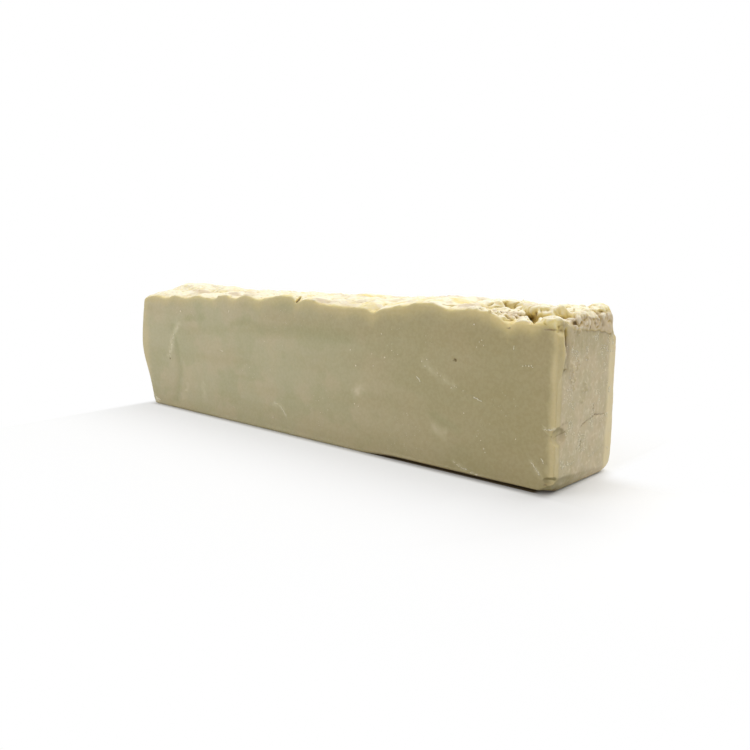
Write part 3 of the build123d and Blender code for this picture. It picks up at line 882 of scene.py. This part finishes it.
def paint(mesh):
    """Marks on the mesh where the soap is torn, thin at an edge, sunk, cut, scraped or cracked."""
    points, edges = points_of(mesh), edges_of(mesh)
    x, y, z = points.T
    crust = crust_share(points)
    side = 1 - crust
    slit = slit_share(points)
    set_attribute(mesh, "crust", np.maximum(spread(crust, edges, 2), slit))
    wall = wall_share(points)
    # how far each point is sunk, which the material paints as shade
    sunk = np.maximum(sunk_below(points, crust * (1 - wall), 6.0) * (1 - wall), slit * SLIT_SUNK)
    set_attribute(mesh, "sunk", sunk + DEPTHS_SUNK * round_spots(points, DEPTHS))

    # the cut end, the arrises with their painted highlight, and the rims under the crust, yellow partly as
    # a painted glow
    end = ease(RIGHT_END - 3.0, RIGHT_END - 1.5, x) * side
    end *= ease(-22.8, -21.6, y) * ease(20.6, 17.6, y + 0.6 * lumpy(points, 6.0, 36))
    set_attribute(mesh, "end", end)
    edge_noise = 1.2 * lumpy(points, 9.0, 33)
    right_arris = ease(RIGHT_END - 3.8, RIGHT_END - 1.2, x + 0.4 * edge_noise) * (1 - end)
    left_arris = 0.6 * (1 - ease(-143, -137, x))
    set_attribute(mesh, "arris", np.maximum(right_arris, left_arris) * side)
    crest = np.zeros(2 * CREST_COLUMNS)
    columns = np.round(x + GRID_REACH[0]).astype(int) + CREST_COLUMNS * (y > 0)
    np.maximum.at(crest, columns, np.where(np.abs(y) > HALF_WIDTH - 2.0, z, 0))
    below = crest[columns] - z + edge_noise
    set_attribute(mesh, "rim", (1 - ease(0.0, RIM_HEIGHT, below)) * side * (np.abs(y) > HALF_WIDTH - 4))

    # pale scuffs on the front and the pale flake
    front = ease(HALF_WIDTH - 1.8, HALF_WIDTH - 0.9, -y) * side
    streaky = np.clip(0.6 + 0.9 * craggy(points, 2.6, 35, 2), 0, 1)
    scuffed = np.max([along_path(x, z, path, width) * strength for path, width, strength in SCUFFS], axis=0)
    on_flake = ease(-0.3, 0.3, z - np.interp(y, *zip(*FLAKE_RIM))) * ease(138, 140, x)
    below_crest = ease(0.8, 0.0, z - np.interp(y, *zip(*FLAKE_CREST)))
    on_flake *= below_crest * ease(-3.2, -2.4, y) * ease(9.8, 9.2, y)
    set_attribute(mesh, "light", np.maximum(scuffed * streaky * front, 0.8 * on_flake))

    # painted shade in the cracks, creases, holes and slit, under the flake and under the lifted foot, and
    # soft dark spots
    cracks = np.max([along_path(y, z, path, width) for path, width, _ in END_CRACKS[:4]], axis=0)
    flake_shade = along_path(y, z + 0.7, FLAKE_RIM, 0.7) * ease(139, 141, x)
    cracks *= np.clip(0.7 + 0.6 * lumpy(points, 2.2, 31), 0, 1)
    # painted shade under the lifted foot of the front face
    under = ease(44, 66, x) * ease(17, 20, -y) * (1 - ease(1.0, 1.7, z))
    creased = np.max([along_path(x, y, path, width) for path, width, _ in CREASES], axis=0)
    creased = creased * crust * ragged_share(points)
    soft_spots = round_spots(points, DARK_SPOTS) * np.clip(0.6 + craggy(points, 3.0, 37, 2), 0, 1)
    slit_shade = slit * (0.25 + 0.65 * ease(-19.0, -22.6, y))
    spots = np.maximum(round_spots(points, HOLES) * 0.85, soft_spots * 0.4)
    shades = [cracks * end * 0.85, spots, under, creased * 0.45, slit_shade, flake_shade * 0.5]
    set_attribute(mesh, "dark", np.max(shades, axis=0))

    # grey and golden patches of the crust, and green smears on the front
    set_attribute(mesh, "grey", np.maximum(round_spots(points, GREY_PATCHES), wall * ease(71.5, 69.5, z)))
    smeared = np.max([along_path(x, z, path, width) for path, width in SMEARS], axis=0)
    set_attribute(mesh, "green", smeared * front)
    golden = np.max([along_path(x, y, path, width) for path, width in GOLD_PATCHES], axis=0)
    set_attribute(mesh, "gold", golden * crust * np.clip(0.35 + 1.2 * craggy(points, 7.0, 39), 0, 1))


# Small pale flecks stuck to the smooth faces, by geometry nodes

FLECKS_ON_FRONT = 260
FLECKS_ON_END = 520

# Where they may lie, as the lowest and highest (x, z) on the front and (y, z) on the right end
FRONT_FIELD = ((-138, 3), (140, 66))
END_FIELD = ((-21, 10), (23, 62))

# How far a fleck stands out, and how squarely the surface under it has to face outwards
FLECK_HEIGHT = 0.14
FACING_OUT = 0.85

# A fleck along a scratch stands for this much of its length
SCRATCH_STEP = 0.8


def fleck_tree():
    """Sets a pebble, sized and turned by the point's own attributes, on each point."""
    tree = bpy.data.node_groups.new("Flecks", "GeometryNodeTree")
    face = tree.interface
    face.new_socket("Places", in_out="INPUT", socket_type="NodeSocketGeometry")
    face.new_socket("Soap", in_out="INPUT", socket_type="NodeSocketMaterial")
    face.new_socket("Flecks", in_out="OUTPUT", socket_type="NodeSocketGeometry")
    n = Nodes(tree)
    given = n.add("NodeGroupInput").outputs

    def named(name):
        return n.add("GeometryNodeInputNamedAttribute", {"Name": name}, data_type="FLOAT_VECTOR").outputs[0]

    pebble = n.add("GeometryNodeMeshIcoSphere", {"Radius": 1.0, "Subdivisions": 1})
    placed = n.add(
        "GeometryNodeInstanceOnPoints",
        {
            "Points": given["Places"],
            "Instance": pebble.outputs["Mesh"],
            "Rotation": named("turn"),
            "Scale": named("size"),
        },
    )
    real = n.add("GeometryNodeRealizeInstances", {"Geometry": placed.outputs[0]})
    dressed = n.add("GeometryNodeSetMaterial", {"Geometry": real.outputs[0], "Material": given["Soap"]})
    n.add("NodeGroupOutput", {"Flecks": dressed.outputs[0]})
    return tree


def scratched(rng):
    """Flecks strung along the scratches, as (x, z, half length, half width, turn)."""
    for path, half_width, shown in SCRATCHES:
        for (x0, z0), (x1, z1) in zip(path, path[1:]):
            length = math.hypot(x1 - x0, z1 - z0)
            steps = max(round(length / SCRATCH_STEP), 2)
            for share in (np.arange(steps) + 0.5) / steps:
                if rng.random() < shown:
                    wander = rng.normal(0, 0.12, 2)
                    place = (x0 + (x1 - x0) * share + wander[0], z0 + (z1 - z0) * share + wander[1])
                    turn = math.atan2(z1 - z0, x1 - x0) + rng.normal(0, 0.25)
                    yield (*place, rng.uniform(0.35, 0.8), half_width * rng.uniform(0.4, 1.0), turn)


def strewn_flecks():
    """Where the flecks lie, as (across, z, face, half length, half width, turn), and how pale each is."""
    rng = np.random.default_rng(17)
    marks = [(x, z, radius, radius * rng.uniform(0.6, 1), rng.uniform(0, 3)) for x, z, radius in SPECKS]
    marks += scratched(rng)
    strengths = [1.0] * len(marks)
    across = rng.uniform(*FRONT_FIELD, (6 * FLECKS_ON_FRONT, 2))
    spots = np.array([(x, -HALF_WIDTH, z) for x, z in across])
    kept = across[lumpy(spots, 26.0, 51) > 0.25][:FLECKS_ON_FRONT]
    marks += [(x, z, *(rng.uniform(0.12, 0.3, 2)), rng.uniform(0, 3)) for x, z in kept]
    strengths += list(rng.uniform(0.2, 0.7, len(kept)))
    placed = [(x, z, "front", a, b, turn) for x, z, a, b, turn in marks]

    across = rng.uniform(*END_FIELD, (8 * FLECKS_ON_END, 2))
    spots = np.array([(RIGHT_END, y, z) for y, z in across])
    kept = across[craggy(spots, 9.0, 52, 2) > 0.25][:FLECKS_ON_END]
    placed += [(y, z, "end", *(rng.uniform(0.16, 0.5, 2)), rng.uniform(0, 3)) for y, z in kept]
    strengths += list(rng.uniform(0.45, 1.0, len(kept)))
    return zip(placed, strengths)


def flecks(loaf):
    """Every fleck on the front and on the right end, as one object."""
    places, sizes, turns, light, end = [], [], [], [], []
    for (u, z, face, long, short, turn), strength in strewn_flecks():
        start = (u, -40, z) if face == "front" else (160, u, z)
        aim = (0, 1, 0) if face == "front" else (-1, 0, 0)
        hit, spot, normal, _ = loaf.ray_cast(metres(start), aim)
        if hit and abs(normal.dot(aim)) > FACING_OUT:
            places.append(spot)
            shape = (long, FLECK_HEIGHT, short) if face == "front" else (FLECK_HEIGHT, long, short)
            sizes.append(np.array(shape) * MM)
            turns.append((0, -turn, 0) if face == "front" else (turn, 0, 0))
            light.append(strength)
            end.append(face == "end")
    points = bpy.data.meshes.new("fleck_places")
    points.from_pydata(places, [], [])
    for name, values in (("size", sizes), ("turn", turns)):
        points.attributes.new(name, "FLOAT_VECTOR", "POINT").data.foreach_set("vector", np.ravel(values))
    set_attribute(points, "light", np.array(light))
    set_attribute(points, "end", np.array(end))
    return link_new("flecks", through_modifier(points, "NODES", {"Soap": soap}, node_group=fleck_tree()))


# The loaf itself

loaf_mesh = thinned(worked(made_one(block_with_crumbs())))
paint(loaf_mesh)
loaf_mesh.name = "loaf"
loaf_mesh.materials.clear()
loaf_mesh.materials.append(soap)
loaf = link_new("loaf", loaf_mesh)
bpy.context.view_layer.update()
with bpy.context.temp_override(active_object=loaf, selected_editable_objects=[loaf, flecks(loaf)]):
    bpy.ops.object.join()
loaf_mesh.polygons.foreach_set("use_smooth", np.ones(len(loaf_mesh.polygons), bool))
loaf_mesh.polygons.foreach_set("material_index", np.zeros(len(loaf_mesh.polygons), np.int32))
set_points(loaf_mesh, inside_cad_box(points_of(loaf_mesh)))
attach(loaf, "root")
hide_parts("soap_bar")


# The table and backdrop

FLOOR_REACH = 6.0
PAPER = (0.8, 0.8, 0.8, 1)
# a painted shadow on the paper under the loaf
PAPER_SHADOW_UNDER_LOAF = (0.2, 0.15, 0.08, 1)

# Half the loaf's length and width on the table, in metres
LOAF_FOOTPRINT = (0.147, 0.026, 1)


def seen_as_background(n):
    """1 for the rays that show the camera its background, also by gloss and through glass."""
    seen = n.add("ShaderNodeLightPath").outputs
    by_gloss_or_glass = n.sum("MAXIMUM", seen["Is Glossy Ray"], seen["Is Transmission Ray"])
    return n.sum("MAXIMUM", seen["Is Camera Ray"], by_gloss_or_glass)


def floor_material():
    """White where the camera sees it, with the loaf's shadow kept, and plain paper to the light."""
    made = bpy.data.materials.new("White_paper")
    made.use_nodes = True
    made.node_tree.nodes.clear()
    n = Nodes(made.node_tree)
    glow = n.add("ShaderNodeEmission", {"Color": (1, 1, 1, 1), "Strength": 1.0})
    place = n.add("ShaderNodeTexCoord").outputs["Object"]
    x, y, _ = n.add("ShaderNodeSeparateXYZ", {"Vector": place}).outputs

    # the glow grows with the distance from the loaf, so its shadow stays
    beyond = n.add("ShaderNodeVectorMath", {0: place}, operation="ABSOLUTE").outputs[0]
    beyond = n.add("ShaderNodeVectorMath", {0: beyond, 1: LOAF_FOOTPRINT}, operation="SUBTRACT").outputs[0]
    beyond = n.add("ShaderNodeVectorMath", {0: beyond, 1: (0, 0, 0)}, operation="MAXIMUM").outputs[0]
    away = n.add("ShaderNodeVectorMath", {0: beyond}, operation="LENGTH").outputs["Value"]
    before = n.sum("MULTIPLY", n.range(y, -0.0264, -0.03, 0.0, 0.55), n.range(x, 0.17, 0.12))
    behind = n.sum("MULTIPLY", n.range(y, 0.004, 0.024), n.range(x, 0.144, 0.153))
    beside = n.sum("MAXIMUM", n.range(x, -0.13, -0.145), behind)
    clear = n.sum("MAXIMUM", n.sum("MAXIMUM", before, beside), n.range(away, 0.0, 0.16))
    share = n.sum("MULTIPLY", seen_as_background(n), clear)

    # the paper under the loaf is painted dark, a painted shadow where no light gets
    covered = n.sum("MULTIPLY", n.range(x, 0.14, 0.136), n.range(y, -0.0252, -0.0242))
    covered_left_and_back = n.sum("MULTIPLY", n.range(y, 0.022, 0.02), n.range(x, -0.136, -0.134))
    covered = n.sum("MULTIPLY", covered, covered_left_and_back)
    tint = n.mix(covered, PAPER, PAPER_SHADOW_UNDER_LOAF)
    paper = n.add("ShaderNodeBsdfDiffuse", {"Color": tint})
    blend = n.add("ShaderNodeMixShader", {0: share, 1: paper.outputs[0], 2: glow.outputs[0]})
    n.add("ShaderNodeOutputMaterial", {"Surface": blend.outputs[0]})
    return made


def white_table():
    mesh = bpy.data.meshes.new("table_top")
    r = FLOOR_REACH
    mesh.from_pydata([(-r, -r, 0), (r, -r, 0), (r, r, 0), (-r, r, 0)], [], [(0, 1, 2, 3)])
    mesh.materials.append(floor_material())
    table = link_new("table_top", mesh)


white_table()


# Light and camera

CAMERA_PLACE = metres((279.12, -283.16, 96.34))
CAMERA_AIM = Vector((-0.65272, 0.73912, -0.16631))
CAMERA_LENS = 35.706

# Softboxes, as name, place, size in metres and power in watts, each aimed at the loaf's middle
SOFTBOXES = (
    ("overhead_softbox", (0.15, 0.4, 1.0), (1.2, 0.8), 10.2),
    ("left_softbox", (-0.75, -1.15, 0.6), (0.8, 0.8), 5.9),
)
LOAF_MIDDLE = Vector((0, 0, 0.03))
ROOM_LIGHT = 0.58


def softbox(name, place, size, power):
    lamp = bpy.data.lights.new(name, "AREA")
    lamp.shape = "RECTANGLE"
    lamp.size, lamp.size_y = size
    lamp.energy = power
    made = bpy.data.objects.new(name, lamp)
    made.location = place
    made.rotation_mode = "QUATERNION"
    made.rotation_quaternion = (LOAF_MIDDLE - Vector(place)).to_track_quat("-Z", "Y")
    bpy.context.scene.collection.objects.link(made)


def studio():
    scene = bpy.context.scene
    scene.view_settings.view_transform = "Standard"
    for box in SOFTBOXES:
        softbox(*box)
    world = bpy.data.worlds.new("Studio")
    scene.world = world
    world.use_nodes = True
    world.node_tree.nodes.clear()
    n = Nodes(world.node_tree)
    brightness = n.range(seen_as_background(n), 0.0, 1.0, ROOM_LIGHT, 1.0)
    air = n.add("ShaderNodeBackground", {"Color": (1, 1, 1, 1), "Strength": brightness})
    n.add("ShaderNodeOutputWorld", {"Surface": air.outputs[0]})


def camera():
    lens = bpy.data.cameras.new("Camera")
    lens.sensor_width = 36.0
    lens.lens = CAMERA_LENS
    lens.clip_start = 0.01
    made = bpy.data.objects.new("Camera", lens)
    made.location = CAMERA_PLACE
    made.rotation_mode = "QUATERNION"
    made.rotation_quaternion = CAMERA_AIM.to_track_quat("-Z", "Y")
    bpy.context.scene.collection.objects.link(made)
    bpy.context.scene.camera = made


studio()
camera()
